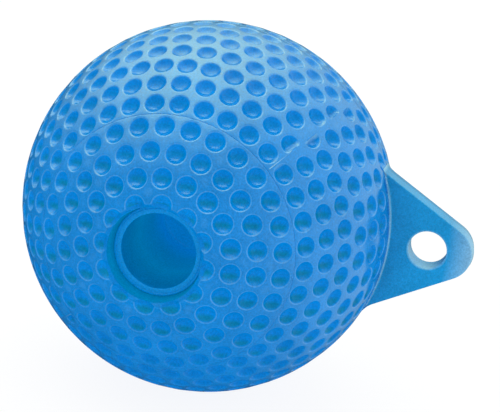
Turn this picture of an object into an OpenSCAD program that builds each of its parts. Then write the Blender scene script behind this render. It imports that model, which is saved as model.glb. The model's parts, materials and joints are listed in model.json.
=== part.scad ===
// Hollow dimpled ball with a recessed socket mouth and a flat tether lug.
// The ball is moulded in three shells: a mouth cap that carries the socket,
// a front shell and a rear shell. The two big shells each carry half of the lug.
// The mouth faces -Y, the lug points along +X and the ball's centre is the origin.

/* [Ball] */
// Outer diameter of the ball
ball_d = 92; // [86:0.5:110]
// Wall thickness of the three shells
wall = 4; // [3.5:0.1:5]

/* [Dimples] */
// Diameter of a dimple where it meets the ball's surface
dimple_d = 4.7; // [3.5:0.1:5.2]
// Depth of a dimple below the ball's surface
dimple_depth = 1.5; // [0.8:0.05:1.6]
// Distance between rings of dimples on the belt, measured along the surface
ring_pitch = 5.68; // [5.5:0.02:6.6]
// Distance between rings of dimples around the two poles
cap_pitch = 5.86; // [5.5:0.02:6.6]
// Distance between dimples along a ring
dimple_pitch = 5.9; // [5.4:0.1:8]

/* [Mouth] */
// Number of dimple rings between the equator and the mouth cap
belt_rings = 7; // [6:1:8]
// Angle by which the mouth cap's pattern is turned from the lug
cap_turn = -4.2; // [-30:0.1:30]
// Width by which the recess flares above the socket's rim
recess_flare = 0.4; // [0.2:0.1:1.5]
// Width of the slope on the recess's edge
edge_slope = 0.8; // [0.3:0.1:1.5]
// Depth of the socket's rim below the crown of the ball
rim_drop = 5.6; // [4:0.1:8]
// Depth of the narrow groove around the socket's rim
rim_groove = 1; // [0.5:0.1:1.5]
// Length of the neck that holds the socket inside the cap
neck_len = 12; // [6:0.5:20]
// Wall thickness of the neck around the socket's rim
neck_wall = 2; // [1.5:0.1:3]

/* [Socket] */
// Diameter of the socket's bore
bore_d = 17.4; // [12:0.1:19]
// Depth of the socket's bore
bore_depth = 30; // [18:0.5:36]
// Width of the slope on the bore's edge
bore_slope = 0.3; // [0.2:0.1:0.5]
// Wall thickness of the socket below its rim
socket_wall = 1.1; // [0.8:0.1:2]
// Thickness of the socket's closed end
socket_floor = 2; // [1.5:0.1:4]
// Width by which the socket's rim stands out from its wall
rim_w = 0.6; // [0.4:0.1:2]
// Thickness of the socket's rim
rim_t = 2; // [1.6:0.1:3]

/* [Lug] */
// Thickness of the lug, both halves together
lug_t = 6.1; // [4:0.1:8]
// Diameter of the eye
eye_d = 9.2; // [5:0.1:10]
// Distance from the ball's surface to the eye's centre
eye_out = 9.4; // [7:0.1:14]
// Width of the lug beside the eye
eye_wall = 2.4; // [1.8:0.1:5]
// Distance from the eye's centre to the centre of the round tip
tip_out = 3.9; // [0:0.1:6]
// Angle between a side of the lug and its centre line
side_angle = 29.5; // [20:0.5:35]
// Depth to which the lug's root runs into the wall below the dimples
lug_root = 0.3; // [0.2:0.1:0.5]

/* [Joints] */
// Radial clearance of the parts that slide into each other
fit = 0.1; // [0.05:0.05:0.2]
// Clearance at the end of the lip in its groove
end_gap = 0.2; // [0.1:0.1:0.5]
// Thickness of the rear shell's lip
lip_t = 1.4; // [1.2:0.1:1.6]
// Height of the rear shell's lip
lip_h = 3; // [2:0.1:5]
// Width of the ledge that carries the mouth cap
ledge_w = 1.2; // [1:0.1:1.6]
// Depth of that ledge below the joint on the ball's surface
ledge_drop = 1.6; // [1.2:0.1:2]

/* [Hidden] */
$fn = 96;
dimple_fn = 40;
ball_blue = [0.10, 0.47, 0.82];
socket_blue = [0.13, 0.52, 0.86];
over = 1;

ball_r = ball_d / 2;
inner_r = ball_r - wall;

// Angle that spans a length of the ball's surface
function turn(length) = length / ball_r * 180 / PI;

// The cutter of a dimple is a sphere through the dimple's rim and its lowest point.
rim_sag = ball_r - sqrt(ball_r * ball_r - dimple_d * dimple_d / 4);
cut_h = dimple_depth - rim_sag;
cutter_r = (dimple_d * dimple_d / 4 + cut_h * cut_h) / (2 * cut_h);
cutter_z = ball_r - dimple_depth + cutter_r;

// The rings are counted from the equator, so the shells part between two rings.
ring_angle = turn(ring_pitch);
cap_angle = 90 - belt_rings * ring_angle;
pole_angle = turn(cap_pitch);
ring_total = belt_rings + floor(cap_angle / pole_angle + 0.5);

// Dimples more or fewer on each ring than the pitch gives, from the equator to the mouth
ring_extra = [1, 2, 0, 0, 2, 1, 1, 0, 0, 0, -1];

// Turn of each ring of the belt from the lug, in steps between its dimples
belt_start = [0.5, 0.05, 0, -0.08, 0.43, 0.11, 0.88];

// The cap's joint, between two rings of dimples, is a cone that meets the surface squarely.
ledge_z = ball_r * cos(cap_angle) - ledge_drop;
joint_r = ledge_z * tan(cap_angle);
joint_fit = fit / cos(cap_angle);
ledge_r = joint_r - ledge_w;

// Heights in the mouth, measured from the ball's centre
rim_z = ball_r - rim_drop;
groove_z = rim_z - rim_groove;
seat_z = rim_z - rim_t;
neck_z = seat_z - neck_len;

// Radii in the mouth, from the bore outwards
bore_r = bore_d / 2;
socket_r = bore_r + socket_wall;
rim_r = socket_r + rim_w;
seat_r = rim_r + fit;
neck_r = seat_r + neck_wall;
recess_r = seat_r + recess_flare + edge_slope;
edge_z = sqrt(ball_r * ball_r - recess_r * recess_r);
edge_angle = asin(recess_r / ball_r);

// The lug, measured from the ball's centre
root_r = ball_r - dimple_depth - lug_root;
eye_reach = ball_r + eye_out;
tip_reach = eye_reach + tip_out;
tip_r = eye_d / 2 + eye_wall;

// Polar angle of a ring, and the number of dimples that fit on it
function pole_polar(k) = cap_angle - (k - belt_rings + 0.5) * pole_angle;
function ring_polar(k) =
    k < belt_rings ? 90 - (k + 0.5) * ring_angle :
    pole_polar(k) < pole_angle / 2 ? 0 : pole_polar(k);
function pitch_count(k) = round(2 * PI * ball_r * sin(ring_polar(k)) / dimple_pitch);
function ring_count(k) = max(1, pitch_count(k) + (k < len(ring_extra) ? ring_extra[k] : 0));

// Turn of a ring from the lug, as far as the belt's list goes
function ring_turn(k) = k < len(belt_start) ? belt_start[k] * 360 / ring_count(k) : 0;

// The mouth faces -Y
module ball_frame() {
    rotate([90, 0, 0])
        children();
}

module dimple_ring(k, start) {
    count = ring_count(k);
    for (i = [0 : count - 1])
        rotate([0, ring_polar(k), start + i * 360 / count])
            translate([0, 0, cutter_z])
                sphere(r = cutter_r, $fn = dimple_fn);
}

module hollow_ball() {
    difference() {
        sphere(r = ball_r);
        sphere(r = inner_r);
    }
}

// Everything above a height, within a radius
module above(z, r) {
    translate([0, 0, z])
        cylinder(r = r, h = ball_r + over - z);
}

// Everything above the ledge, within the cone of the cap's joint
module above_ledge(gap = 0) {
    h = ball_r + over - ledge_z;
    translate([0, 0, ledge_z])
        cylinder(r1 = joint_r + gap, r2 = joint_r + gap + h * tan(cap_angle), h = h);
}

// Everything below the equator
module below_equator() {
    translate([0, 0, -ball_r - over])
        cylinder(r = ball_r + over, h = ball_r + over);
}

// Half of the lug, standing on the parting plane
module lug_half() {
    half_t = lug_t / 2;
    root_x = root_r * cos(45);
    touch_x = tip_reach + tip_r * sin(side_angle);
    touch_y = tip_r * cos(side_angle);
    root_y = touch_y + (touch_x - root_x) * tan(side_angle);
    difference() {
        union() {
            linear_extrude(half_t)
                polygon([[root_x, -root_y], [touch_x, -touch_y], [touch_x, touch_y], [root_x, root_y]]);
            translate([tip_reach, 0, 0])
                cylinder(r = tip_r, h = half_t);
        }
        sphere(r = root_r);
    }
}

module eye() {
    translate([eye_reach, 0, -lug_t])
        cylinder(d = eye_d, h = 2 * lug_t);
}

// The recess widens from the groove around the rim to its sloped edge on the ball.
module recess() {
    flare = recess_flare / (edge_z - groove_z);
    wall_h = ball_r + over - groove_z;
    slope_z = edge_z - recess_flare - edge_slope;
    slope_h = ball_r + over - slope_z;
    translate([0, 0, groove_z])
        cylinder(r1 = seat_r, r2 = seat_r + flare * wall_h, h = wall_h);
    translate([0, 0, slope_z])
        cylinder(r1 = seat_r, r2 = seat_r + slope_h, h = slope_h);
}

module mouth_cap() {
    color(ball_blue)
        ball_frame()
            difference() {
                union() {
                    intersection() {
                        hollow_ball();
                        union() {
                            above_ledge();
                            above(ledge_z - wall, ledge_r - fit);
                        }
                    }
                    translate([0, 0, neck_z])
                        cylinder(r = neck_r, h = inner_r - neck_z);
                }
                for (k = [belt_rings : ring_total - 1])
                    if (ring_polar(k) + turn(dimple_d / 2) > edge_angle)
                        dimple_ring(k, cap_turn);
                recess();
                translate([0, 0, seat_z])
                    cylinder(r = seat_r, h = ball_r);
                translate([0, 0, neck_z - over])
                    cylinder(r = socket_r + fit, h = ball_r);
            }
}

module front_shell() {
    color(ball_blue)
        ball_frame()
            difference() {
                union() {
                    difference() {
                        hollow_ball();
                        below_equator();
                        above_ledge(joint_fit);
                        above(ledge_z - wall, ledge_r);
                        translate([0, 0, -over])
                            cylinder(r = inner_r + lip_t + fit, h = lip_h + end_gap + over);
                        for (k = [0 : belt_rings - 1])
                            dimple_ring(k, ring_turn(k));
                    }
                    lug_half();
                }
                eye();
            }
}

module rear_shell() {
    color(ball_blue)
        ball_frame()
            mirror([0, 0, 1])
                difference() {
                    union() {
                        difference() {
                            hollow_ball();
                            below_equator();
                            for (k = [0 : ring_total - 1])
                                dimple_ring(k, -ring_turn(k));
                        }
                        lug_half();
                        lip();
                    }
                    eye();
                }
}

// The lip stands up from the rear shell's rim into the front shell's groove.
module lip() {
    translate([0, 0, -lip_h])
        difference() {
            cylinder(r = inner_r + lip_t, h = lip_h);
            translate([0, 0, -over])
                cylinder(r = inner_r, h = lip_h + 2 * over);
        }
}

module socket() {
    color(socket_blue)
        ball_frame()
            difference() {
                union() {
                    translate([0, 0, seat_z])
                        cylinder(r = rim_r, h = rim_t);
                    translate([0, 0, rim_z - bore_depth - socket_floor])
                        cylinder(r = socket_r, h = bore_depth + socket_floor - rim_t);
                }
                translate([0, 0, rim_z - bore_depth])
                    cylinder(r = bore_r, h = bore_depth + over);
                translate([0, 0, rim_z - bore_slope])
                    cylinder(r1 = bore_r, r2 = bore_r + bore_slope + over, h = bore_slope + over);
            }
}

mouth_cap();
front_shell();
rear_shell();
socket();
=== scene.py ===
import json
import math

import bpy
import bmesh
import numpy as np
from mathutils import Matrix, Vector
from mathutils.geometry import delaunay_2d_cdt


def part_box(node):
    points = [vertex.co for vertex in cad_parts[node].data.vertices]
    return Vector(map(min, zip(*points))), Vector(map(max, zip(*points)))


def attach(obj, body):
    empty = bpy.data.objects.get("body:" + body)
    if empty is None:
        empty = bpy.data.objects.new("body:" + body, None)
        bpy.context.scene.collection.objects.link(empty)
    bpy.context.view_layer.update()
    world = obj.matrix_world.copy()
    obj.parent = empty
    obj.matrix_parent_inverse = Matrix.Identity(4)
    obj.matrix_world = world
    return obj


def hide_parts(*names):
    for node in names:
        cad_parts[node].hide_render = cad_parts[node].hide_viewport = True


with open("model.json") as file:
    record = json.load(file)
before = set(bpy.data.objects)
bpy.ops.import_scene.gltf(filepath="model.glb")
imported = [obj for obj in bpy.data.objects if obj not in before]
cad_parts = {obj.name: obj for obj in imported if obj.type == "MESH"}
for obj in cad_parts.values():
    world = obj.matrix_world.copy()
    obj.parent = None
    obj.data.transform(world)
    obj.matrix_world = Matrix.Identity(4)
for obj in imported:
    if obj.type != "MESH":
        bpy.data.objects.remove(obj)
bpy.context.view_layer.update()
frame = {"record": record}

# Lengths are in millimetres, about the ball's centre, and angles in radians.
# A shape is made with the mouth along +Z and the lug along +X, and then turned into the frame.
MM = 0.001
FULL_TURN = 2 * math.pi
EQUATOR = math.pi / 2
TINY = 1e-6

# Sizes that the frame holds
mounts = {mount["name"]: mount for mount in frame["record"]["mounts"]}
BALL_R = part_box("rear_shell")[1].z / MM
TIP_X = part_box("front_shell")[1].x / MM
EYE_X = mounts["lug_eye"]["pos_m"][0] / MM
EYE_R = mounts["lug_eye"]["dims"]["r_mm"]
LUG_HALF = mounts["lug_eye"]["dims"]["length_mm"] / 2
BORE_R = mounts["socket_bore"]["dims"]["r_mm"]
RIM_Z = -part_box("socket")[0].y / MM
SOCKET_END_Z = -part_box("socket")[1].y / MM
RIM_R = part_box("socket")[1].z / MM
NECK_Z = -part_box("mouth_cap")[1].y / MM
LIP_H = -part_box("rear_shell")[0].y / MM

# The shells and their joints
WALL = 4.0
INNER_R = BALL_R - WALL
FIT = 0.1
END_GAP = 0.2
LIP_T = 1.4
LEDGE_W = 1.2
LEDGE_DROP = 1.6
HAIR_GAP = 0.02
POLE_GAP = 0.02

# A shell's edge: its rounding, the rows of points on it, and how near to it a dimple's points come
EDGE_SOFTNESS = 0.08
EDGE_ROWS = (0.0, 0.4, 1.0)
EDGE_MARGIN = 1.3 * EDGE_SOFTNESS

# The dimples
DIMPLE_R = 2.35
DIMPLE_DEPTH = 1.5
DIMPLE_ROUND = 0.52
DIMPLE_PITCH = 5.9
RING_PITCH = 5.68
POLE_PITCH = 5.86
BELT_RINGS = 7
CAP_TURN = math.radians(-4.2)

# Dimples more or fewer on each ring than the pitch gives, and the belt rings' turns in steps
RING_EXTRA = (1, 2, 0, 0, 2, 1, 1, 0, 0, 0, -1)
BELT_START = (0.5, 0.05, 0.0, -0.08, 0.43, 0.11, 0.88)

# Points on each row of a dimple: in its bowl, from the centre out, and on its rounded rim.
# The bowl's rows lie closer together towards the rim, and the last row lies just outside it.
BOWL_MESH = (1, 8, 14, 18, 22, 26)
RIM_MESH = (26, 26, 26, 26)
ROW_POWER = 0.8
RIM_OVER = 0.02

# The mouth and the socket
SOCKET_WALL = 1.1
SOCKET_FLOOR = 2.0
SOCKET_CORNER = 0.8
RIM_T = 2.0
RIM_ROUND = 0.16
RIM_LINE_HALF = 0.1
RIM_LINE_DEPTH = 0.08
NECK_WALL = 2.0
RECESS_FLARE = 0.4
EDGE_SLOPE = 0.8
EDGE_ROUND = 0.14
EDGE_REACH = 0.32
WALL_DROP = 0.2
AXIS_R = 0.01

# Rows of points across the recess's edge, and the dimples' distance from the last one
LIP_ROWS = (-EDGE_SLOPE, -0.55, -0.3, -0.15, -0.07, 0.0, 0.07, 0.15, 0.3)
LIP_MARGIN = 0.1

# The lug
TIP_R = 7.0
SIDE_ANGLE = math.radians(29.5)
LUG_ROOT = 1.8
LUG_ROUND = 0.35
LUG_DRAFT = 0.25
LUG_FILLET = 0.7
SIDE_FILLET = 0.8
SIDE_REACH = 12.0

# The seams of the mould on the belt, at these turns from the lug.
# Their feet, and the nearest points of dimples, are given in half widths of the ridge.
SEAM_TURNS = [math.radians(turn) for turn in (45, 225)]
SEAM_HALF = 0.14
SEAM_PROUD = 0.09
SEAM_FADE = 11.0
SEAM_SLOPE = 0.9
SEAM_STEP = 0.35
SEAM_FEET = (-1.9, -1, 1, 1.9)
SEAM_MARGIN = 2.4

# Fineness of the meshes
COLUMNS = 360
ROUND_STEPS = 5
SPHERE_STEPS = 16
LUG_COLUMNS = 240
LUG_ROWS = 48
POINTS_AT_ONCE = 4000
MERGE_GAP = 1e-7
SHARP_ANGLE = math.radians(38)

# Values that follow from those sizes
RING_ANGLE = RING_PITCH / BALL_R
CAP_ANGLE = EQUATOR - BELT_RINGS * RING_ANGLE
POLE_ANGLE = POLE_PITCH / BALL_R
RING_TOTAL = BELT_RINGS + int(CAP_ANGLE / POLE_ANGLE + 0.5)
LEDGE_Z = BALL_R * math.cos(CAP_ANGLE) - LEDGE_DROP
JOINT_R = LEDGE_Z * math.tan(CAP_ANGLE)
JOINT_ANGLE = CAP_ANGLE + HAIR_GAP / BALL_R
LEDGE_R = JOINT_R - LEDGE_W
RIM_LINE_R = (2 * RIM_R + BORE_R) / 3
SEAT_R = RIM_R + FIT
SEAT_Z = RIM_Z - RIM_T
WALL_TOP_R = SEAT_R + RECESS_FLARE
EDGE_R = WALL_TOP_R + EDGE_SLOPE
EDGE_Z = math.sqrt(BALL_R ** 2 - EDGE_R ** 2)

# A dimple is a round bowl whose rim is an arc between the bowl and the ball's surface.
BOWL_R = (DIMPLE_R ** 2 + DIMPLE_DEPTH ** 2) / (2 * DIMPLE_DEPTH)
BOWL_UP = BOWL_R - DIMPLE_DEPTH
RIM_OUT = math.sqrt((BOWL_R + DIMPLE_ROUND) ** 2 - (BOWL_UP + DIMPLE_ROUND) ** 2)
BOWL_OUT = RIM_OUT * BOWL_R / (BOWL_R + DIMPLE_ROUND)

# Colours of the plastic
BLACK = (0.0, 0.0, 0.0)
WHITE = (1.0, 1.0, 1.0)
LAND_BLUE = (0.0, 0.24, 0.70)
# painted highlight on the dimples' rims
RIM_HIGHLIGHT_BLUE = (0.04, 0.31, 0.76)
# painted highlight on the seam's ridge and in the dimples that the seam cuts
SEAM_HIGHLIGHT = (0.20, 0.50, 0.76)
BOWL_BLUE = (0.0, 0.272, 0.78)
# painted shade in the dimples
SHADE_TEAL = (0.0, 0.245, 0.48)
# painted shade at the lug's root, painted light paling its tip, and a painted highlight round the
# eye
LUG_ROOT_SHADE = (0.0, 0.27, 0.62)
LUG_BLUE = (0.0, 0.31, 0.70)
LUG_TIP_PAINTED_LIGHT = (0.22, 0.50, 0.76)
EYE_EDGE_HIGHLIGHT = (0.15, 0.50, 0.80)
# painted shade on the recess's wall, and a painted glow that lifts it
RECESS_SHADE_TEAL = (0.0, 0.25, 0.52)
RECESS_PAINTED_GLOW = (0.0, 0.065, 0.105)
# painted light: the socket's rim and bore are painted lighter, and the bore and its end glow
SOCKET_RIM_PAINTED_LIGHT = (0.0, 0.32, 0.80)
BORE_EDGE = (0.0, 0.27, 0.60)
BORE_PAINTED_LIGHT = (0.0, 0.42, 0.62)
BORE_PAINTED_GLOW = (0.0, 0.06, 0.125)
END_PAINTED_GLOW = (0.0, 0.075, 0.24)

# Colours from 1 mm under the ball's surface to 0.1 mm above it, which is the seam's ridge. The pale
# rim round each dimple and the pale seam ridge are painted highlights, and the rims' painted
# highlight fades out low on the ball.
RIM_DEPTH = (1.0, -0.1)
RIM_STOPS = ((0.0, BOWL_BLUE), (0.7, BOWL_BLUE), (0.76, RIM_HIGHLIGHT_BLUE), (0.87, RIM_HIGHLIGHT_BLUE),
             (0.9, LAND_BLUE), (0.93, LAND_BLUE), (0.97, SEAM_HIGHLIGHT))
RIM_HEIGHT = (-30, -10)

# Painted shade: teal in the dimples, by depth, by how far the surface faces up and by height on the
# ball.
# It is wider in the low dimples, and the lowest and the highest have none.
TEAL_DEPTH = (1.1, 0.25)
TEAL_FACING = (-0.05, 0.75)
BAND_STOPS = ((0.0, BLACK), (0.4, WHITE), (0.6, WHITE), (1.0, BLACK))
LOW_HEIGHT = (-12, 0)
LOW_TEAL_DEPTH = (0.6, 0.15)
LOW_TEAL_FACING = (-0.05, 0.95)
LOW_BAND_STOPS = ((0.0, BLACK), (0.32, WHITE), (0.8, WHITE), (1.0, BLACK))
TEAL_HEIGHT = (-34, 38)
TEAL_STOPS = ((0.0, BLACK), (0.17, WHITE), (0.61, WHITE), (1.0, BLACK))

# Painted highlights: pale patches in the dimples that the seam on the lug's side cuts, outside the
# mouth cap
PATCH_REACH = (0.4, 1.3)
PATCH_DEPTH = (0.35, 0.05)
PATCH_X = (21.2, 21.8)

# The recess and its edge, in the front of the ball. The recess's wall is painted a darker teal as
# painted shade, with a faint painted glow that lifts its darkest part.
# In the lower half, the gloss is dull in a band outside the edge.
FRONT_Y = (-20, 0)
RECESS_BLUR = 0.1
EDGE_BLUR = 0.3
DULL_BAND = (0.8, 2.5)

# The lug's colours from the ball to the tip, darker at the root as painted shade and paler at the
# tip as painted light, the depths (above the ball) where they start, and the width of the eye's
# pale edge, a painted highlight
LUG_STOPS = ((0.0, LUG_ROOT_SHADE), (0.35, LUG_BLUE), (0.7, LUG_BLUE), (1.0, LUG_TIP_PAINTED_LIGHT))
LUG_START = (-0.12, -0.4)
EYE_BLUR = 0.5

# The socket's painted glow from its rim to its end, and its colours in the first part of the bore,
# which are
# painted light: the rim is lighter than the ball's blue and the bore turns a lighter teal deeper in
GLOW_STOPS = ((0.05, BLACK), (0.4, BORE_PAINTED_GLOW), (0.7, BORE_PAINTED_GLOW), (0.95, END_PAINTED_GLOW))
BORE_STOPS = ((0.02, SOCKET_RIM_PAINTED_LIGHT), (0.04, BORE_EDGE), (1.0, BORE_PAINTED_LIGHT))
BORE_FADE = 12

# Levels of the gloss. The land starts at these depths, and the highest bowls are as glossy as it.
# A crest is the band of a bowl that faces up, less a share of how far the ball there does.
LAND_GLOSS = 0.5
BOWL_GLOSS = 0.08
CREST_GLOSS = 0.30
SOCKET_GLOSS = 0.2
LAND_DEPTH = (0.27, 0.03)
HIGH_BOWLS = (32, 44)
CREST_FACING = (0.56, 0.90)
CREST_SHARE = 0.25
CREST_HEIGHT = (-12, 12)

# The plastic's grain: how far speckles and mottles change the colour, and the roughness
PLASTIC_IOR = 1.49
SPECKLE_WEIGHT = 2.0
SHADES = (0.4, 1.6)
ROUGHNESS = (0.16, 0.26)
GRAIN_DEPTH = 0.1

# The stage and its light. White is a little over 1, so that it stays white.
FLOOR_RADIUS = 4.0
FLOOR_STEPS = 64
FLOOR_GREY = (0.85, 0.85, 0.85)
FLOOR_SHINE = 0.86
SEEN_WHITE = 1.04
WORLD_LIGHT = 0.9
OVERHEAD = (-0.25, 0.13, 0.96)
SUN_ENERGY = 0.22 * math.pi
SUN_COLOUR = (1.0, 1.0, 0.75)
SUN_ANGLE = math.radians(70)

# The light that the gloss shows: lobes with a direction, power, strength and colour
SIDEWAYS = (0.948, 0.245, 0.2)
TOP_COLOUR = (1.0, 1.15, 0.4)
SIDE_COLOUR = (1.0, 1.3, 1.2)
DOME_LOBES = ((OVERHEAD, 3.2, 5.4, TOP_COLOUR), (SIDEWAYS, 1.5, 1.45, SIDE_COLOUR))
DOME_AMBIENT = 0.02
DOME_RADIUS = 5.0


# The pattern of dimples

def directions(polar, turn):
    """Unit vectors at polar angles from the mouth's axis and turns from the lug."""
    polar, turn = np.broadcast_arrays(polar, turn)
    across = np.sin(polar)
    parts = [across * np.cos(turn), across * np.sin(turn), np.cos(polar)]
    return np.stack(parts, -1).reshape(-1, 3)


def polar_of(points):
    """Polar angles of unit vectors from the mouth's axis."""
    return np.arccos(np.clip(points[:, 2], -1, 1))


def even_turns(count):
    """Turns that divide a full turn evenly."""
    return np.arange(count) * FULL_TURN / count


def ring_polar(ring):
    """Polar angle of a ring of dimples. The belt's rings come first, from the equator on."""
    if ring < BELT_RINGS:
        return EQUATOR - (ring + 0.5) * RING_ANGLE
    polar = CAP_ANGLE - (ring - BELT_RINGS + 0.5) * POLE_ANGLE
    return 0.0 if polar < POLE_ANGLE / 2 else polar


def ring_count(ring):
    """Number of dimples on a ring."""
    fitting = int(FULL_TURN * BALL_R * math.sin(ring_polar(ring)) / DIMPLE_PITCH + 0.5)
    extra = RING_EXTRA[ring] if ring < len(RING_EXTRA) else 0
    return max(1, fitting + extra)


def ring_turn(ring):
    """Turn of a ring from the lug, as far as the belt's list goes."""
    start = BELT_START[ring] if ring < len(BELT_START) else 0.0
    return start * FULL_TURN / ring_count(ring)


def ring_centres(ring, start):
    """Unit vectors to the centres of a ring's dimples."""
    return directions(ring_polar(ring), start + even_turns(ring_count(ring)))


def dimple_depth(distance):
    """Depth of a dimple at a distance along the surface from its centre."""
    bowl = np.sqrt(np.maximum(BOWL_R ** 2 - distance ** 2, 0)) - BOWL_UP
    to_rim = np.clip(RIM_OUT - distance, 0, DIMPLE_ROUND)
    rim = DIMPLE_ROUND - np.sqrt(DIMPLE_ROUND ** 2 - to_rim ** 2)
    return np.where(distance < BOWL_OUT, bowl, rim)


def sink(points, centres):
    """Depth of the dimples below the ball's surface at unit vectors."""
    blocks = np.array_split(points, len(points) // POINTS_AT_ONCE + 1)
    nearest = np.concatenate([(block @ centres.T).max(1) for block in blocks])
    return dimple_depth(BALL_R * np.arccos(np.clip(nearest, -1, 1)))


def dimple_points(centres):
    """Rows of unit vectors around the dimples' centres."""
    side = np.cross(centres, [0.0, 0.0, 1.0])
    length = np.linalg.norm(side, axis=1, keepdims=True)
    side = np.where(length > TINY, side / np.maximum(length, TINY), [1.0, 0.0, 0.0])
    up = np.cross(side, centres)
    bowl = np.linspace(0, BOWL_OUT, len(BOWL_MESH)) ** ROW_POWER * BOWL_OUT ** (1 - ROW_POWER)
    rim = np.linspace(BOWL_OUT, RIM_OUT + RIM_OVER, len(RIM_MESH) + 1)[1:]
    rows = []
    for distance, count in zip(np.concatenate([bowl, rim]), BOWL_MESH + RIM_MESH):
        angle = distance / BALL_R
        for step in even_turns(count):
            outward = math.cos(step) * side + math.sin(step) * up
            rows.append(math.cos(angle) * centres + math.sin(angle) * outward)
    return np.concatenate(rows)


def edge_rows(polar, step_towards):
    """Rows of unit vectors along an edge of a shell, the edge itself first."""
    offsets = EDGE_SOFTNESS / BALL_R * step_towards * np.array(EDGE_ROWS)
    return [directions(polar + offset, even_turns(COLUMNS)) for offset in offsets]


def edge_drop(points, polar):
    """How far a rounded edge falls below the ball's surface near a polar angle."""
    away = BALL_R * np.abs(polar_of(points) - polar)
    inside = np.clip(EDGE_SOFTNESS - away, 0, EDGE_SOFTNESS)
    return EDGE_SOFTNESS - np.sqrt(EDGE_SOFTNESS ** 2 - inside ** 2)


# Meshes

def triangulate(points, hole=None):
    """Delaunay triangles of unit vectors on the +Z side. hole is the loop round the open middle."""
    flat = points[:, :2] / (1 + points[:, 2:]) * BALL_R
    edges = [] if hole is None else list(zip(hole.tolist(), np.roll(hole, -1).tolist()))
    made = delaunay_2d_cdt([Vector(point) for point in flat], edges, [], 0, MERGE_GAP)
    source = np.array([origin[0] for origin in made[3]])
    faces = source[np.array(made[2])]
    if hole is None:
        return faces
    hole_r = np.hypot(*flat[hole[0]]) * math.cos(math.pi / COLUMNS)
    middle = np.hypot(*flat[faces].mean(1).T)
    return faces[middle > hole_r]


def revolve(profile):
    """Loops of points for each radius and height of a profile."""
    turns = even_turns(COLUMNS)
    return [
        np.stack([radius * np.cos(turns), radius * np.sin(turns), np.full(COLUMNS, height)], -1)
        for radius, height in profile
    ]


def arc(centre, radius, start, end):
    """Points of a profile on an arc, between two angles in degrees."""
    angles = np.radians(np.linspace(start, end, ROUND_STEPS))
    return [(centre[0] + radius * math.cos(a), centre[1] + radius * math.sin(a)) for a in angles]


def sphere_profile(radius, polar_from, polar_to):
    """Points of a profile on a sphere about the ball's centre."""
    polar = np.linspace(polar_from, polar_to, SPHERE_STEPS)
    return [(radius * math.sin(p), radius * math.cos(p)) for p in polar]


def bridge(loop, other):
    """Quads between two loops of point numbers."""
    return np.stack([loop, np.roll(loop, -1), np.roll(other, -1), other], -1).tolist()


def new_piece(name, points, faces, side=1):
    """A mesh object from points with the mouth along +Z. side -1 mirrors it to the rear."""
    points = np.asarray(points)
    turned = np.stack([points[:, 0], -side * points[:, 2], points[:, 1]], -1) * MM
    mesh = bpy.data.meshes.new(name)
    mesh.from_pydata(turned.tolist(), [], faces)
    work = bmesh.new()
    work.from_mesh(mesh)
    bmesh.ops.recalc_face_normals(work, faces=work.faces)
    work.to_mesh(mesh)
    work.free()
    piece = bpy.data.objects.new(name, mesh)
    bpy.context.scene.collection.objects.link(piece)
    return piece


def close_shell(points, faces, first, last, profile):
    """Joins a shell's outer surface to its inside, a profile from the first edge to the last one.
    A shell without a last edge closes on the axis."""
    loops = revolve(profile)
    count = len(points)
    all_points = [points] + loops
    all_faces = faces.tolist()
    loop = first
    for number in range(len(loops)):
        following = np.arange(COLUMNS) + count + number * COLUMNS
        all_faces += bridge(loop, following)
        loop = following
    if last is None:
        all_points.append(np.array([[0.0, 0.0, profile[-1][1]]]))
        tip = count + len(loops) * COLUMNS
        all_faces += [[a, b, tip] for a, b in zip(loop.tolist(), np.roll(loop, -1).tolist())]
    else:
        all_faces += bridge(loop, last)
    return np.concatenate(all_points), all_faces


def unite(piece, other):
    """Joins a second solid into a piece, and removes it."""
    joint = piece.modifiers.new("unite", "BOOLEAN")
    joint.operation = "UNION"
    joint.solver = "MANIFOLD"
    joint.object = other
    bpy.context.view_layer.update()
    seen = piece.evaluated_get(bpy.context.evaluated_depsgraph_get())
    mesh = bpy.data.meshes.new_from_object(seen)
    piece.modifiers.clear()
    piece.data = mesh
    bpy.data.objects.remove(other)


def finish_piece(piece, node, material):
    """Smooth shading, a material and its place in the frame."""
    piece.data.shade_smooth()
    piece.data.set_sharp_from_angle(angle=SHARP_ANGLE)
    piece.data.materials.clear()
    piece.data.materials.append(material)
    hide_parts(node)
    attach(piece, "root")


# The mouth cap

def cap_surface():
    """The cap's outer surface: dimples, the soft outer edge and the rounded edge of the recess."""
    rings = range(BELT_RINGS, RING_TOTAL)
    centres = np.concatenate([ring_centres(ring, CAP_TURN) for ring in rings])
    outer = edge_rows(CAP_ANGLE, -1)
    lip_polar = [math.asin((EDGE_R + offset) / BALL_R) for offset in LIP_ROWS]
    lip = [directions(polar, even_turns(COLUMNS)) for polar in lip_polar]
    inside = dimple_points(centres)
    polar = polar_of(inside)
    low = lip_polar[-1] + LIP_MARGIN / BALL_R
    high = CAP_ANGLE - EDGE_MARGIN / BALL_R
    inside = inside[(polar > low) & (polar < high)]
    points = np.concatenate(outer + lip + [inside])
    first = np.arange(COLUMNS)
    hole = np.arange(COLUMNS) + COLUMNS * len(outer)
    faces = triangulate(points, hole)
    depth = sink(points, centres) + edge_drop(points, CAP_ANGLE)
    return round_recess(points, points * (BALL_R - depth)[:, None]), faces, first, hole


def round_recess(points, placed):
    """Brings the points near the recess down onto the slope of its edge, which is rounded."""
    radius = np.hypot(points[:, 0], points[:, 1]) * BALL_R
    inward = EDGE_R - radius
    drop = (inward + np.sqrt(inward ** 2 + EDGE_ROUND ** 2)) / 2
    near = inward > -EDGE_REACH
    placed = placed.copy()
    placed[near, :2] = points[near, :2] * BALL_R
    surface_z = np.sqrt(BALL_R ** 2 - np.maximum(radius[near], EDGE_R) ** 2)
    placed[near, 2] = np.minimum(placed[near, 2], surface_z - drop[near])
    return placed


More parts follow.
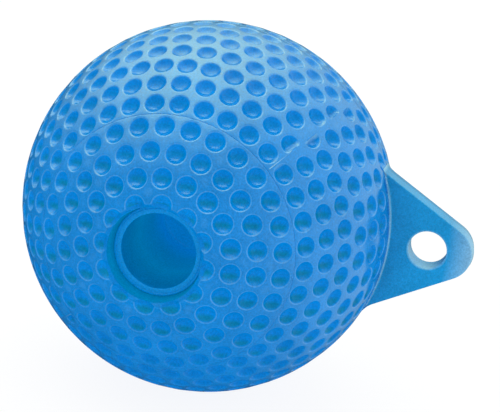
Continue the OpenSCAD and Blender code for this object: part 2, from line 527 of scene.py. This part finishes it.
def mouth_cap():
    """The cap in the middle of the front, with the recess and the neck that holds the socket."""
    points, faces, first, hole = cap_surface()
    spigot_r = LEDGE_R - FIT
    neck_r = SEAT_R + NECK_WALL
    bore_r = BORE_R + SOCKET_WALL + FIT
    profile = [(JOINT_R, LEDGE_Z), (spigot_r, LEDGE_Z)]
    profile += sphere_profile(INNER_R, math.asin(spigot_r / INNER_R), math.asin(neck_r / INNER_R))
    profile += [(neck_r, NECK_Z), (bore_r, NECK_Z), (bore_r, SEAT_Z), (SEAT_R, SEAT_Z)]
    profile += [(SEAT_R, RIM_Z - 2 * RIM_ROUND), (RIM_R + HAIR_GAP, RIM_Z - RIM_ROUND)]
    profile += [(WALL_TOP_R, EDGE_Z - EDGE_SLOPE - WALL_DROP)]
    points, faces = close_shell(points, faces, first, hole, profile)
    return new_piece("mouth_cap_shell", points, faces)


# The two big shells

def sector(points):
    """Number of the mould's half in which unit vectors lie."""
    turn = np.arctan2(points[:, 1], points[:, 0]) - SEAM_TURNS[-1]
    return np.floor(turn / math.pi).astype(int) % len(SEAM_TURNS)


def seam_rows():
    """Unit vectors along the seams of the mould: the middle of each seam, and its feet.
    The rows leave out two steps at each end, where the shell's edges are."""
    steps = int((EQUATOR - CAP_ANGLE) * BALL_R / SEAM_STEP)
    polar = np.linspace(CAP_ANGLE, EQUATOR, steps + 1)[2:-2]
    middle = [directions(polar, turn) for turn in SEAM_TURNS]
    feet = []
    for turn in SEAM_TURNS:
        for way in SEAM_FEET:
            feet.append(directions(polar, turn + way * SEAM_HALF / BALL_R / np.sin(polar)))
    return np.concatenate(middle), np.concatenate(feet)


def seam_distance(points):
    """Distance of unit vectors from the nearest seam, along the surface."""
    turn = np.arctan2(points[:, 1], points[:, 0])[:, None] - np.array(SEAM_TURNS)
    turn = np.abs((turn + math.pi) % FULL_TURN - math.pi).min(1)
    return BALL_R * np.hypot(points[:, 0], points[:, 1]) * turn


def belt_surface():
    """The front shell's outer surface. The seams of the mould cut the dimples beside them."""
    rings = range(BELT_RINGS)
    centres = np.concatenate([ring_centres(ring, ring_turn(ring)) for ring in rings])
    centre_sector = sector(centres)
    inside = []
    for number in range(len(SEAM_TURNS)):
        own = dimple_points(centres[centre_sector == number])
        clear = seam_distance(own) > SEAM_MARGIN * SEAM_HALF
        inside.append(own[(sector(own) == number) & clear])
    inside = np.concatenate(inside)
    polar = polar_of(inside)
    margin = EDGE_MARGIN / BALL_R
    inside = inside[(polar > CAP_ANGLE + margin) & (polar < EQUATOR - margin)]
    top = edge_rows(JOINT_ANGLE, 1)
    low = edge_rows(EQUATOR, -1)
    ridge, feet = seam_rows()
    points = np.concatenate(top + low + [feet, inside, ridge])
    depth = np.zeros(len(points))
    point_sector = sector(points)
    for number in range(len(SEAM_TURNS)):
        own = point_sector == number
        depth[own] = sink(points[own], centres[centre_sector == number])
    depth *= np.clip((seam_distance(points) - SEAM_HALF) / SEAM_SLOPE, 0, 1)
    along = BALL_R * (polar_of(ridge) - CAP_ANGLE)
    depth[len(points) - len(ridge):] = -SEAM_PROUD * np.clip(1 - along / SEAM_FADE, 0, 1)
    depth += edge_drop(points, JOINT_ANGLE) + edge_drop(points, EQUATOR)
    first = np.arange(COLUMNS)
    last = np.arange(COLUMNS) + COLUMNS * len(top)
    return points * (BALL_R - depth)[:, None], triangulate(points, first), first, last


def front_shell():
    """The front half of the ball round the cap, with a groove for the rear shell's lip."""
    points, faces, first, last = belt_surface()
    groove_z = LIP_H + END_GAP
    groove_r = INNER_R + LIP_T + FIT
    profile = [(JOINT_R + HAIR_GAP, LEDGE_Z), (LEDGE_R, LEDGE_Z)]
    profile += sphere_profile(INNER_R, math.asin(LEDGE_R / INNER_R), math.acos(groove_z / INNER_R))
    profile += [(groove_r, groove_z), (groove_r, 0.0)]
    points, faces = close_shell(points, faces, first, last, profile)
    shell = new_piece("front_shell_dimpled", points, faces)
    unite(shell, lug_half("front_lug_half", 1))
    return shell


def rear_shell():
    """The rear half of the ball, with the lip of the joint."""
    rings = range(RING_TOTAL)
    centres = np.concatenate([ring_centres(ring, -ring_turn(ring)) for ring in rings])
    inside = dimple_points(centres)
    inside = inside[polar_of(inside) < EQUATOR - EDGE_MARGIN / BALL_R]
    points = np.concatenate(edge_rows(EQUATOR, -1) + [inside])
    depth = sink(points, centres) + edge_drop(points, EQUATOR)
    faces = triangulate(points)
    lip_r = INNER_R + LIP_T
    profile = [(lip_r, 0.0), (lip_r, -LIP_H), (INNER_R, -LIP_H)]
    profile += sphere_profile(INNER_R, EQUATOR, POLE_GAP)
    placed = points * (BALL_R - depth)[:, None]
    points, faces = close_shell(placed, faces, np.arange(COLUMNS), None, profile)
    shell = new_piece("rear_shell_dimpled", points, faces, -1)
    unite(shell, lug_half("rear_lug_half", -1))
    return shell


# The lug

def lug_outline(angles, inset):
    """Distance from the eye's centre to the lug's edge in each direction, the edge moved in."""
    tip = TIP_X - TIP_R - EYE_X
    dx, dy = np.cos(angles), np.sin(angles)
    tip_r = TIP_R - inset
    along = tip * dx
    to_tip = along + np.sqrt(np.maximum(along ** 2 - tip ** 2 + tip_r ** 2, 0))
    facing = dx * math.sin(SIDE_ANGLE) + np.abs(dy) * math.cos(SIDE_ANGLE)
    to_side = (tip * math.sin(SIDE_ANGLE) + tip_r) / np.maximum(facing, TINY)
    beyond = EYE_X + to_tip * dx > TIP_X - TIP_R + tip_r * math.sin(SIDE_ANGLE)
    reach = np.where(beyond, to_tip, to_side)
    root_r = BALL_R - LUG_ROOT
    to_root = -EYE_X * dx - np.sqrt(np.maximum((EYE_X * dx) ** 2 - EYE_X ** 2 + root_r ** 2, 0))
    meets = (EYE_X * np.abs(dy) < root_r) & (dx < 0)
    return np.where(meets, np.minimum(reach, to_root), reach)


def fillet(distance, radius):
    """Height of a round fillet at a distance from the surface that it runs up."""
    gap = np.clip(radius - distance, 0, radius)
    return radius - np.sqrt(radius ** 2 - gap ** 2)


def lug_half(name, side):
    """Half of the lug, with the eye, a drafted edge and a fillet where it meets the ball."""
    angles = even_turns(LUG_COLUMNS)
    eye = np.full(LUG_COLUMNS, EYE_R)
    quarter = np.linspace(0, math.pi / 2, ROUND_STEPS)
    drop = LUG_ROUND * (1 - np.sin(quarter))
    inset = LUG_ROUND * (1 - np.cos(quarter))
    loops = [(eye, 0.0)]
    loops += [(eye + inset[i], LUG_HALF - drop[i]) for i in range(ROUND_STEPS)]
    top_in = eye + LUG_ROUND
    top_out = lug_outline(angles, LUG_DRAFT + LUG_ROUND)
    for share in np.linspace(0, 1, LUG_ROWS)[1:-1]:
        loops.append((top_in + share * (top_out - top_in), LUG_HALF))
    for i in reversed(range(ROUND_STEPS)):
        loops.append((lug_outline(angles, LUG_DRAFT + inset[i]), LUG_HALF - drop[i]))
    loops.append((lug_outline(angles, 0.0), 0.0))
    points = np.concatenate([lug_loop(angles, reach, height) for reach, height in loops])
    rows = [np.arange(LUG_COLUMNS) + number * LUG_COLUMNS for number in range(len(loops))]
    faces = []
    for number in range(len(rows)):
        faces += bridge(rows[number - 1], rows[number])
    return new_piece(name, points, faces, side)


def lug_loop(angles, reach, height):
    """A loop of the lug's points, raised and widened by the fillets near the ball."""
    x = EYE_X + reach * np.cos(angles)
    y = reach * np.sin(angles)
    away = np.hypot(x, y) - math.sqrt(BALL_R ** 2 - height ** 2)
    raised = height + fillet(away, LUG_FILLET) * (height / LUG_HALF)
    share = np.clip((reach - EYE_R) / SIDE_REACH, 0, 1)
    widened = y + np.sign(y) * fillet(np.hypot(x, y) - BALL_R, SIDE_FILLET) * share
    return np.stack([x, widened, raised], -1)


# The socket

def socket():
    """A blind socket with a fine line on its rim, whose edges are rounded."""
    outer_r = BORE_R + SOCKET_WALL
    floor_z = SOCKET_END_Z + SOCKET_FLOOR
    corner = (BORE_R - SOCKET_CORNER, floor_z + SOCKET_CORNER)
    profile = [(AXIS_R, floor_z)]
    profile += arc(corner, SOCKET_CORNER, -90, 0)
    profile += arc((BORE_R + RIM_ROUND, RIM_Z - RIM_ROUND), RIM_ROUND, 180, 90)
    profile += [(RIM_LINE_R - RIM_LINE_HALF, RIM_Z), (RIM_LINE_R, RIM_Z - RIM_LINE_DEPTH),
                (RIM_LINE_R + RIM_LINE_HALF, RIM_Z)]
    profile += arc((RIM_R - RIM_ROUND, RIM_Z - RIM_ROUND), RIM_ROUND, 90, 0)
    profile += [(RIM_R, SEAT_Z), (outer_r, SEAT_Z)]
    profile += [(outer_r, SOCKET_END_Z), (AXIS_R, SOCKET_END_Z)]
    loops = revolve(profile)
    rows = [np.arange(COLUMNS) + number * COLUMNS for number in range(len(loops))]
    faces = []
    for row, following in zip(rows, rows[1:]):
        faces += bridge(row, following)
    faces += [rows[0].tolist(), rows[-1].tolist()]
    return new_piece("socket_sleeve", np.concatenate(loops), faces)


# Materials

class Nodes:
    """Adds nodes to a tree. Most of its methods take sockets and give the result's socket."""

    def __init__(self, tree):
        self.tree = tree
        self.link = tree.links.new

    def add(self, kind, **values):
        """A new node, with values for its settings, or for its sockets by their names."""
        node = self.tree.nodes.new(kind)
        for name, value in values.items():
            if hasattr(node, name):
                setattr(node, name, value)
            else:
                node.inputs[name.replace("_", " ")].default_value = value
        return node

    def feed(self, socket, source):
        """Links a socket to a source, or sets a number, vector or colour on it."""
        if isinstance(source, bpy.types.NodeSocket):
            self.link(source, socket)
        elif socket.type == "RGBA":
            socket.default_value = (*source, 1)
        else:
            socket.default_value = source

    def calc(self, operation, *values):
        """Result of a math node."""
        node = self.add("ShaderNodeMath", operation=operation)
        for socket, value in zip(node.inputs, values):
            self.feed(socket, value)
        return node.outputs["Value"]

    def product(self, first, *others):
        """Values multiplied."""
        for other in others:
            first = self.calc("MULTIPLY", first, other)
        return first

    def axes(self, vector):
        """The three parts of a vector."""
        node = self.add("ShaderNodeSeparateXYZ")
        self.link(vector, node.inputs["Vector"])
        return [node.outputs[name] for name in "XYZ"]

    def along(self, vector, direction):
        """Length of a vector along a direction."""
        node = self.add("ShaderNodeVectorMath", operation="DOT_PRODUCT")
        self.feed(node.inputs[0], vector)
        self.feed(node.inputs[1], Vector(direction).normalized())
        return node.outputs["Value"]

    def length(self, vector, scale=(1, 1, 1), offset=(0, 0, 0)):
        """Length of a vector that is first scaled and moved."""
        moved = self.add("ShaderNodeVectorMath", operation="MULTIPLY_ADD")
        for socket, value in zip(moved.inputs, (vector, scale, offset)):
            self.feed(socket, value)
        length = self.add("ShaderNodeVectorMath", operation="LENGTH")
        self.link(moved.outputs["Vector"], length.inputs[0])
        return length.outputs["Value"]

    def scaled(self, vector, scale):
        """A vector or colour times a number."""
        node = self.add("ShaderNodeVectorMath", operation="SCALE")
        self.feed(node.inputs[0], vector)
        self.feed(node.inputs["Scale"], scale)
        return node.outputs["Vector"]

    def noise(self, place, **values):
        """Noise from 0 to 1."""
        node = self.add("ShaderNodeTexNoise", **values)
        self.link(place, node.inputs["Vector"])
        return node.outputs["Fac"]

    def rise(self, value, low, high, first=0.0, last=1.0):
        """Runs from the first number to the last while a value runs from low to high."""
        node = self.add("ShaderNodeMapRange", From_Min=low, From_Max=high,
                        To_Min=first, To_Max=last)
        self.link(value, node.inputs["Value"])
        return node.outputs["Result"]

    def fall(self, value, low, high):
        """Runs from 1 to 0 while a value runs from low to high."""
        return self.rise(value, low, high, 1.0, 0.0)

    def ramp(self, value, low, high, stops):
        """Colours that run with a value from low to high. A stop has a place from 0 to 1."""
        shades = self.add("ShaderNodeValToRGB")
        elements = shades.color_ramp.elements
        while len(elements) < len(stops):
            elements.new(0.5)
        for element, (place, colour) in zip(elements, stops):
            element.position = place
            element.color = (*colour, 1)
        self.link(self.rise(value, low, high), shades.inputs["Fac"])
        return shades.outputs["Color"]

    def blend(self, factor, first, second, kind="RGBA"):
        """Two colours, or two numbers of the kind FLOAT, mixed by a factor."""
        mix = self.add("ShaderNodeMix", data_type=kind)
        for name, source in (("Factor", factor), ("A", first), ("B", second)):
            self.feed(mix.inputs[name], source)
        return mix.outputs["Result"]


def below(depths):
    """Distances from the ball's centre at depths under its surface."""
    return [BALL_R - depth for depth in depths]


def satin_plastic(name, colours):
    """Self-coloured satin plastic, a little mottled and finely grained.
    colours takes places in millimetres, gives a colour and links its own sockets."""
    material = bpy.data.materials.new(name)
    material.use_nodes = True
    nodes = Nodes(material.node_tree)
    surface = material.node_tree.nodes["Principled BSDF"]
    surface.inputs["IOR"].default_value = PLASTIC_IOR
    place = nodes.add("ShaderNodeTexCoord").outputs["Object"]
    mottle = nodes.noise(place, Scale=90.0, Detail=4.0, Roughness=0.6)
    speckle = nodes.noise(place, Scale=2200.0, Detail=2.0, Roughness=0.7)
    grain = nodes.noise(place, Scale=2200.0, Detail=2.0)

    shade = nodes.calc("MULTIPLY_ADD", speckle, SPECKLE_WEIGHT, mottle)
    shade = nodes.rise(shade, 0.0, SPECKLE_WEIGHT + 1, *SHADES)
    colour = colours(nodes, nodes.scaled(place, 1 / MM), surface)
    nodes.link(nodes.scaled(colour, shade), surface.inputs["Base Color"])
    nodes.link(nodes.rise(speckle, 0.0, 1.0, *ROUGHNESS), surface.inputs["Roughness"])
    bump = nodes.add("ShaderNodeBump", Strength=0.06, Distance=GRAIN_DEPTH * MM)
    nodes.link(grain, bump.inputs["Height"])
    nodes.link(bump.outputs["Normal"], surface.inputs["Normal"])
    return material


def shell_colours(nodes, place, surface):
    """The ball with its seam and its recess, and a lug that pales to its tip. The rims and the seam
    get painted highlights, the dimples, the recess and the lug's root get painted shade, and the
    lug's tip gets painted light.
    Links the recess's painted glow and the level of the gloss as well."""
    x, y, height = nodes.axes(place)
    out = nodes.length(place)
    from_axis = nodes.length(place, (1, 0, 1))
    facing_up = nodes.along(nodes.add("ShaderNodeNewGeometry").outputs["Normal"], (0, 0, 1))
    in_front = nodes.fall(y, *FRONT_Y)
    low = nodes.fall(height, *LOW_HEIGHT)

    ball = dimple_colours(nodes, out, height, facing_up, low)
    # painted highlights in the dimples beside the seam
    patches = nodes.product(seam_highlight_patches(nodes, place, x, out), in_front)
    ball = nodes.blend(patches, ball, SEAM_HIGHLIGHT)
    edge = nodes.product(nodes.fall(from_axis, EDGE_R, EDGE_R + EDGE_BLUR), in_front)
    ball = nodes.blend(edge, ball, LAND_BLUE)
    # painted shade and a painted glow in the recess
    recess = nodes.fall(from_axis, WALL_TOP_R - RECESS_BLUR, WALL_TOP_R + RECESS_BLUR)
    recess = nodes.product(recess, in_front)
    ball = nodes.blend(recess, ball, RECESS_SHADE_TEAL)
    nodes.link(nodes.blend(recess, BLACK, RECESS_PAINTED_GLOW), surface.inputs["Emission Color"])
    surface.inputs["Emission Strength"].default_value = 1.0

    dull = nodes.fall(from_axis, *[EDGE_R + offset for offset in DULL_BAND])
    level = dimple_gloss(nodes, out, height, facing_up)
    level = nodes.blend(nodes.product(dull, in_front, low), level, BOWL_GLOSS, "FLOAT")
    nodes.link(level, surface.inputs["Specular IOR Level"])

    # painted shade at the lug's root, painted light at its tip, and a painted highlight round the
    # eye
    lug = nodes.ramp(out, BALL_R, TIP_X, LUG_STOPS)
    shell = nodes.blend(nodes.rise(out, *below(LUG_START)), ball, lug)
    from_eye = nodes.length(place, (1, 0, 1), (-EYE_X, 0, 0))
    return nodes.blend(nodes.fall(from_eye, EYE_R, EYE_R + EYE_BLUR), shell, EYE_EDGE_HIGHLIGHT)


def dimple_colours(nodes, out, height, facing_up, low):
    """The ball's blue, a paler rim round all but the lowest dimples as a painted highlight, and
    teal inside dimples as painted shade.
    """
    # painted highlight on the dimples' rims and on the seam's ridge, faded out low on the ball
    rimmed = nodes.ramp(out, *below(RIM_DEPTH), RIM_STOPS)
    ball = nodes.blend(nodes.rise(height, *RIM_HEIGHT), LAND_BLUE, rimmed)
    # painted shade: teal deep in the dimples, where they face up and by height
    teal_shade = nodes.product(nodes.fall(out, *below(TEAL_DEPTH)),
                         nodes.ramp(facing_up, *TEAL_FACING, BAND_STOPS))
    low_teal_shade = nodes.product(nodes.fall(out, *below(LOW_TEAL_DEPTH)),
                             nodes.ramp(facing_up, *LOW_TEAL_FACING, LOW_BAND_STOPS))
    teal_shade = nodes.blend(low, teal_shade, low_teal_shade, "FLOAT")
    teal_shade = nodes.product(teal_shade, nodes.ramp(height, *TEAL_HEIGHT, TEAL_STOPS))
    return nodes.blend(teal_shade, ball, SHADE_TEAL)


def seam_highlight_patches(nodes, place, x, out):
    """Where the dimples are that the seam on the lug's side cuts, which are given painted
    highlights.
    """
    turn = SEAM_TURNS[0]
    from_seam = nodes.calc("ABSOLUTE", nodes.along(place, (math.sin(turn), 0, -math.cos(turn))))
    near = nodes.fall(from_seam, *PATCH_REACH)
    return nodes.product(near, nodes.fall(out, *below(PATCH_DEPTH)), nodes.rise(x, *PATCH_X))


def dimple_gloss(nodes, out, height, facing_up):
    """Level of the gloss: the land is glossy, and so is a band in each dimple that faces up."""
    crest = nodes.calc("MULTIPLY_ADD", height, -CREST_SHARE / BALL_R, facing_up)
    crest = nodes.product(nodes.ramp(crest, *CREST_FACING, BAND_STOPS),
                          nodes.rise(height, *CREST_HEIGHT))
    level = nodes.rise(height, *HIGH_BOWLS, BOWL_GLOSS, LAND_GLOSS)
    level = nodes.blend(crest, level, CREST_GLOSS, "FLOAT")
    return nodes.blend(nodes.rise(out, *below(LAND_DEPTH)), level, LAND_GLOSS, "FLOAT")


def socket_colours(nodes, place, surface):
    """A rim painted lighter, as painted light, so that it looks as blue as the ball, and a bore
    with painted
    light: a lighter teal and a glow.
    """
    depth = nodes.axes(place)[1]
    # painted glow in the socket's bore
    painted_glow = nodes.ramp(depth, -RIM_Z, -SOCKET_END_Z, GLOW_STOPS)
    nodes.link(painted_glow, surface.inputs["Emission Color"])
    surface.inputs["Emission Strength"].default_value = 1.0
    surface.inputs["Specular IOR Level"].default_value = SOCKET_GLOSS
    return nodes.ramp(depth, -RIM_Z, BORE_FADE - RIM_Z, BORE_STOPS)


# The stage, the light and the camera

def stage_white():
    """White for the camera. The share that isn't shone keeps the object's shadow."""
    material = bpy.data.materials.new("stage_white")
    material.use_nodes = True
    tree = material.node_tree
    nodes = Nodes(tree)
    paint = tree.nodes["Principled BSDF"]
    paint.inputs["Base Color"].default_value = (*FLOOR_GREY, 1)
    paint.inputs["Roughness"].default_value = 0.9
    paint.inputs["Specular IOR Level"].default_value = 0.1
    white = nodes.add("ShaderNodeEmission", Strength=SEEN_WHITE)
    mix = nodes.add("ShaderNodeMixShader", Fac=FLOOR_SHINE)
    nodes.link(paint.outputs["BSDF"], mix.inputs[1])
    nodes.link(white.outputs["Emission"], mix.inputs[2])
    nodes.link(mix.outputs["Shader"], tree.nodes["Material Output"].inputs["Surface"])
    return material


def white_floor():
    """A pale round floor under the ball, which glossy surfaces don't mirror."""
    turns = even_turns(FLOOR_STEPS)
    corners = np.stack([FLOOR_RADIUS * np.cos(turns), FLOOR_RADIUS * np.sin(turns),
                        np.full(FLOOR_STEPS, -BALL_R * MM)], -1)
    mesh = bpy.data.meshes.new("floor")
    mesh.from_pydata(corners.tolist(), [], [list(range(FLOOR_STEPS))])
    mesh.materials.append(stage_white())
    floor = bpy.data.objects.new("floor", mesh)
    floor.visible_glossy = False
    bpy.context.scene.collection.objects.link(floor)


def studio_world():
    """Even white light from all round, which leaves the gloss to the dome."""
    world = bpy.data.worlds.new("studio")
    bpy.context.scene.world = world
    world.use_nodes = True
    world.cycles_visibility.glossy = False
    nodes = Nodes(world.node_tree)
    background = world.node_tree.nodes["Background"]
    background.inputs["Color"].default_value = (*WHITE, 1)
    rays = nodes.add("ShaderNodeLightPath")
    seen = rays.outputs["Is Camera Ray"]
    for name in ("Is Glossy Ray", "Is Transmission Ray"):
        seen = nodes.calc("MAXIMUM", seen, rays.outputs[name])
    strength = nodes.rise(seen, 0.0, 1.0, WORLD_LIGHT, SEEN_WHITE)
    nodes.link(strength, background.inputs["Strength"])


def key_light():
    """A very soft light from overhead, which shades the dimples and casts the shadow."""
    lamp = bpy.data.lights.new("overhead", "SUN")
    lamp.energy = SUN_ENERGY
    lamp.color = SUN_COLOUR
    lamp.angle = SUN_ANGLE
    light = bpy.data.objects.new("overhead", lamp)
    light.rotation_mode = "QUATERNION"
    light.rotation_quaternion = (-Vector(OVERHEAD)).to_track_quat("-Z", "Y")
    light.visible_glossy = False
    bpy.context.scene.collection.objects.link(light)


def lobe(nodes, way, direction, power, strength, colour):
    """A lobe of coloured light round a direction."""
    level = nodes.calc("MAXIMUM", nodes.along(way, direction), 0.0)
    level = nodes.calc("MULTIPLY", nodes.calc("POWER", level, power), strength)
    shine = nodes.add("ShaderNodeEmission", Color=(*colour, 1))
    nodes.link(level, shine.inputs["Strength"])
    return shine.outputs["Emission"]


def dome_light():
    """The dome's material: an ambient level and wide lobes of light."""
    material = bpy.data.materials.new("gloss_dome")
    material.use_nodes = True
    material.node_tree.nodes.clear()
    nodes = Nodes(material.node_tree)
    way = nodes.add("ShaderNodeVectorMath", operation="NORMALIZE")
    nodes.link(nodes.add("ShaderNodeTexCoord").outputs["Object"], way.inputs[0])
    shine = nodes.add("ShaderNodeEmission", Strength=DOME_AMBIENT).outputs["Emission"]
    for values in DOME_LOBES:
        both = nodes.add("ShaderNodeAddShader")
        nodes.link(shine, both.inputs[0])
        nodes.link(lobe(nodes, way.outputs["Vector"], *values), both.inputs[1])
        shine = both.outputs["Shader"]
    nodes.link(shine, nodes.add("ShaderNodeOutputMaterial").inputs["Surface"])
    return material


def gloss_dome():
    """A large dome of soft light that only gloss shows."""
    mesh = bpy.data.meshes.new("gloss_dome")
    work = bmesh.new()
    bmesh.ops.create_icosphere(work, subdivisions=4, radius=DOME_RADIUS)
    work.to_mesh(mesh)
    work.free()
    mesh.materials.append(dome_light())
    dome = bpy.data.objects.new("gloss_dome", mesh)
    for seen_by in ("camera", "diffuse", "transmission", "volume_scatter", "shadow"):
        setattr(dome, "visible_" + seen_by, False)
    bpy.context.scene.collection.objects.link(dome)


def photo_camera():
    """A camera where the photograph was taken, turned so that the ball sits left of the middle."""
    sensor = 36.0
    image_width = 500
    focal_pixels = 1313.6
    ball_left_of_middle = 40.8
    distance = 328.4
    back = Vector((0.2396, -0.9276, 0.2862)).normalized()
    up = Vector((-0.1777, 0.2482, 0.9522)).normalized()
    right = up.cross(back).normalized()
    up = back.cross(right)
    data = bpy.data.cameras.new("photo_camera")
    data.sensor_width = sensor
    data.lens = focal_pixels / image_width * sensor
    data.clip_start = 0.01
    data.clip_end = 20.0
    camera = bpy.data.objects.new("photo_camera", data)
    basis = Matrix((right, up, back)).transposed()
    aside = Matrix.Rotation(-math.atan(ball_left_of_middle / focal_pixels), 3, "Y")
    camera.matrix_world = Matrix.Translation(back * distance * MM) @ (basis @ aside).to_4x4()
    bpy.context.scene.collection.objects.link(camera)
    bpy.context.scene.camera = camera


photo_camera()
shell_plastic = satin_plastic("satin_blue_plastic", shell_colours)
socket_plastic = satin_plastic("smooth_blue_plastic", socket_colours)
finish_piece(mouth_cap(), "mouth_cap", shell_plastic)
finish_piece(front_shell(), "front_shell", shell_plastic)
finish_piece(rear_shell(), "rear_shell", shell_plastic)
finish_piece(socket(), "socket", socket_plastic)
white_floor()
studio_world()
key_light()
gloss_dome()
bpy.context.scene.view_settings.view_transform = "Standard"
